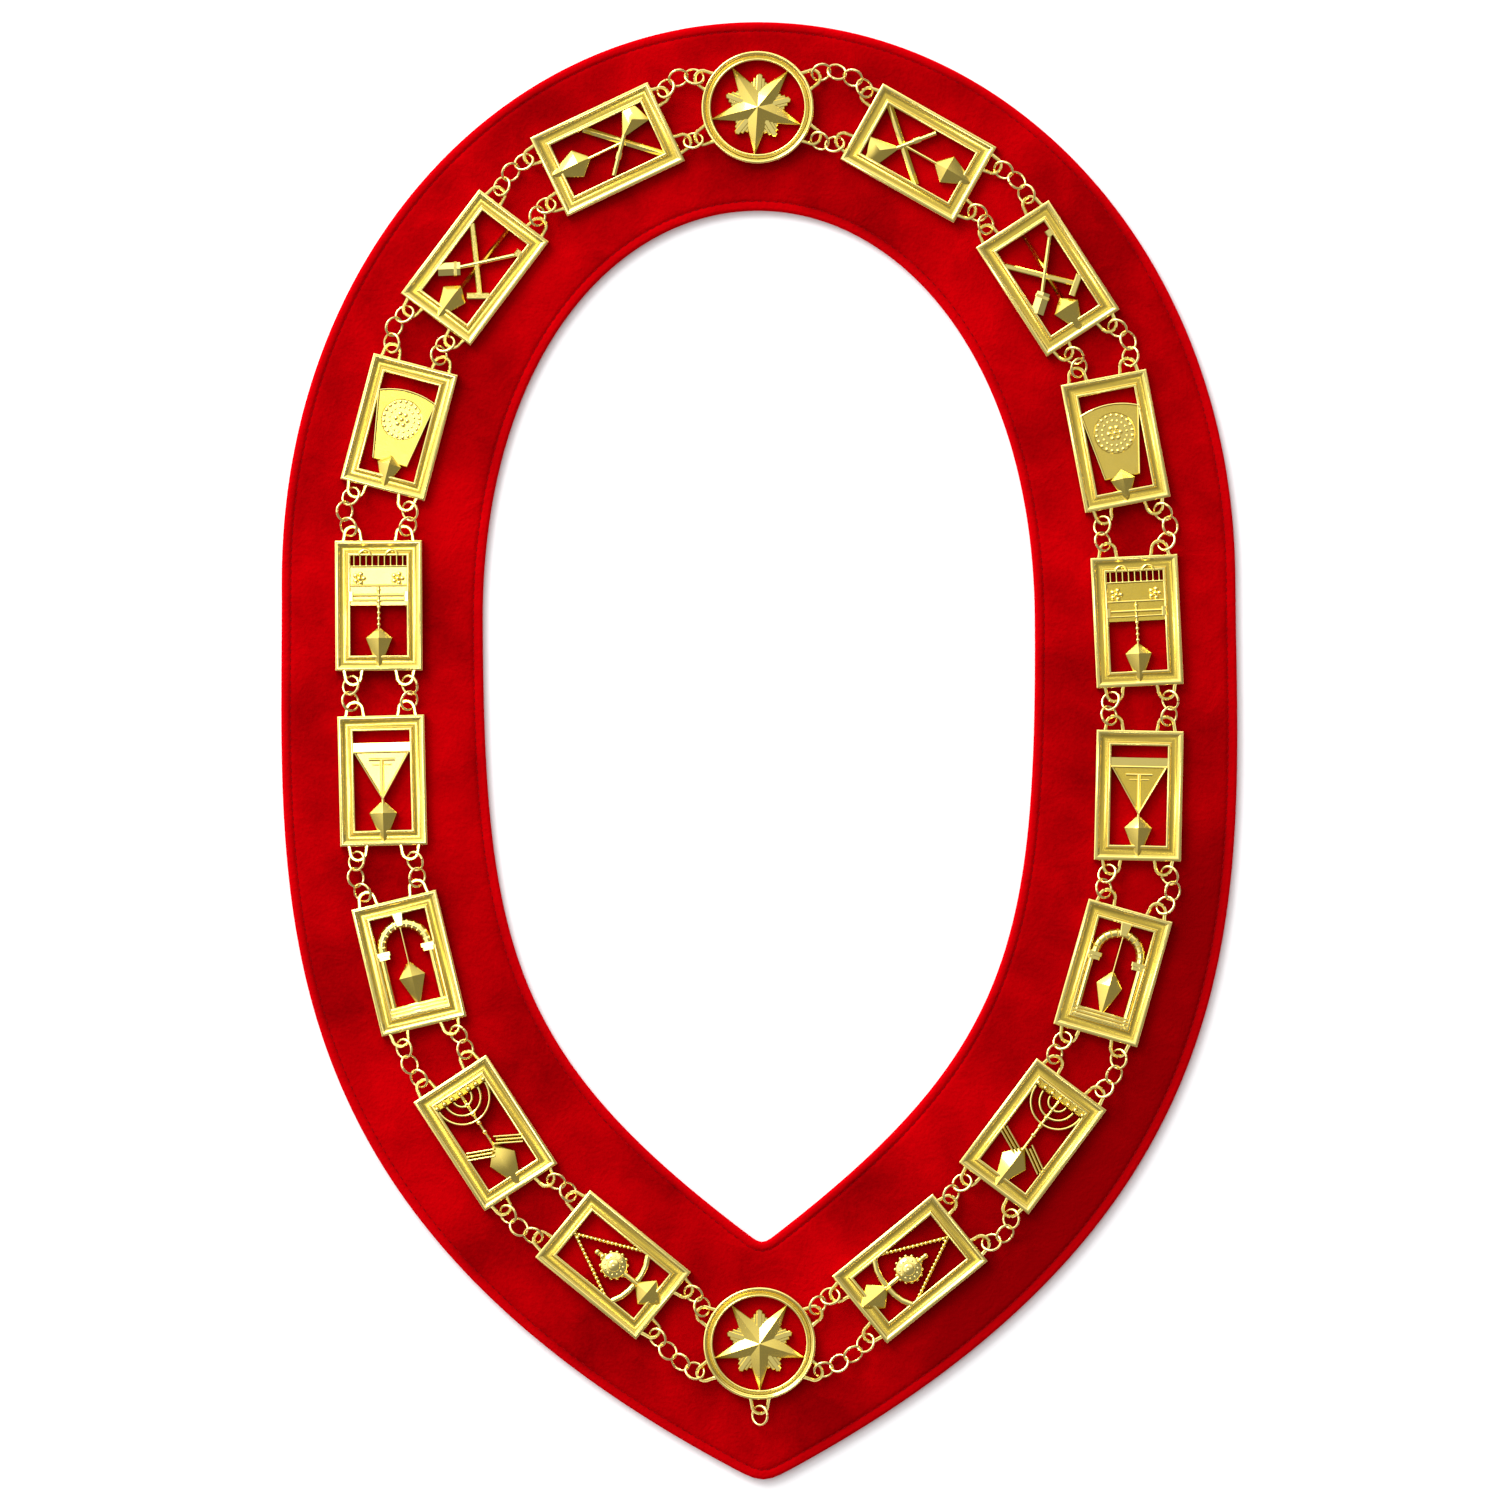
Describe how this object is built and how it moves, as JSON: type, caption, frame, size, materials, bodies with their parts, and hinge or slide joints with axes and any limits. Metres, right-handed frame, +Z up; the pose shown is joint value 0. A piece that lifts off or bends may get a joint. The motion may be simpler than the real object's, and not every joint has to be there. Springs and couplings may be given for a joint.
{
  "type": "chain of office",
  "caption": "Flat velvet neck collar, rounded behind and pointed in front, carrying pierced gold plates and star medallions linked by jump rings.",
  "frame": {"origin": "centre of the collar's bounding box, on the surface that its back lies on", "axes": "+Z up out of the front of the collar, +Y towards the back of the neck, -Y towards the point on the chest, +X to the viewer's right"},
  "size_m": [0.3138, 0.48, 0.0081],
  "materials": {
    "velvet": "matte",
    "gold_plate": "polished",
    "gold_wire": "polished"
  },
  "bodies": {
    "root": {"velvet_collar": "velvet", "plate_left_1": "gold_plate", "plate_left_2": "gold_plate", "plate_left_3": "gold_plate", "plate_left_4": "gold_plate", "plate_left_5": "gold_plate", "plate_left_6": "gold_plate", "plate_left_7": "gold_plate", "plate_left_8": "gold_plate", "plate_right_1": "gold_plate", "plate_right_2": "gold_plate", "plate_right_3": "gold_plate", "plate_right_4": "gold_plate", "plate_right_5": "gold_plate", "plate_right_6": "gold_plate", "plate_right_7": "gold_plate", "plate_right_8": "gold_plate", "medallion_top": "gold_plate", "medallion_bottom": "gold_plate", "rings_left_1_outer": "gold_wire", "rings_left_1_inner": "gold_wire", "rings_left_2_outer": "gold_wire", "rings_left_2_inner": "gold_wire", "rings_left_3_outer": "gold_wire", "rings_left_3_inner": "gold_wire", "rings_left_4_outer": "gold_wire", "rings_left_4_inner": "gold_wire", "rings_left_5_outer": "gold_wire", "rings_left_5_inner": "gold_wire", "rings_left_6_outer": "gold_wire", "rings_left_6_inner": "gold_wire", "rings_left_7_outer": "gold_wire", "rings_left_7_inner": "gold_wire", "rings_left_8_outer": "gold_wire", "rings_left_8_inner": "gold_wire", "rings_left_9_outer": "gold_wire", "rings_left_9_inner": "gold_wire", "rings_right_1_outer": "gold_wire", "rings_right_1_inner": "gold_wire", "rings_right_2_outer": "gold_wire", "rings_right_2_inner": "gold_wire", "rings_right_3_outer": "gold_wire", "rings_right_3_inner": "gold_wire", "rings_right_4_outer": "gold_wire", "rings_right_4_inner": "gold_wire", "rings_right_5_outer": "gold_wire", "rings_right_5_inner": "gold_wire", "rings_right_6_outer": "gold_wire", "rings_right_6_inner": "gold_wire", "rings_right_7_outer": "gold_wire", "rings_right_7_inner": "gold_wire", "rings_right_8_outer": "gold_wire", "rings_right_8_inner": "gold_wire", "rings_right_9_outer": "gold_wire", "rings_right_9_inner": "gold_wire", "jewel_ring": "gold_wire"}
  },
  "joints": []
}
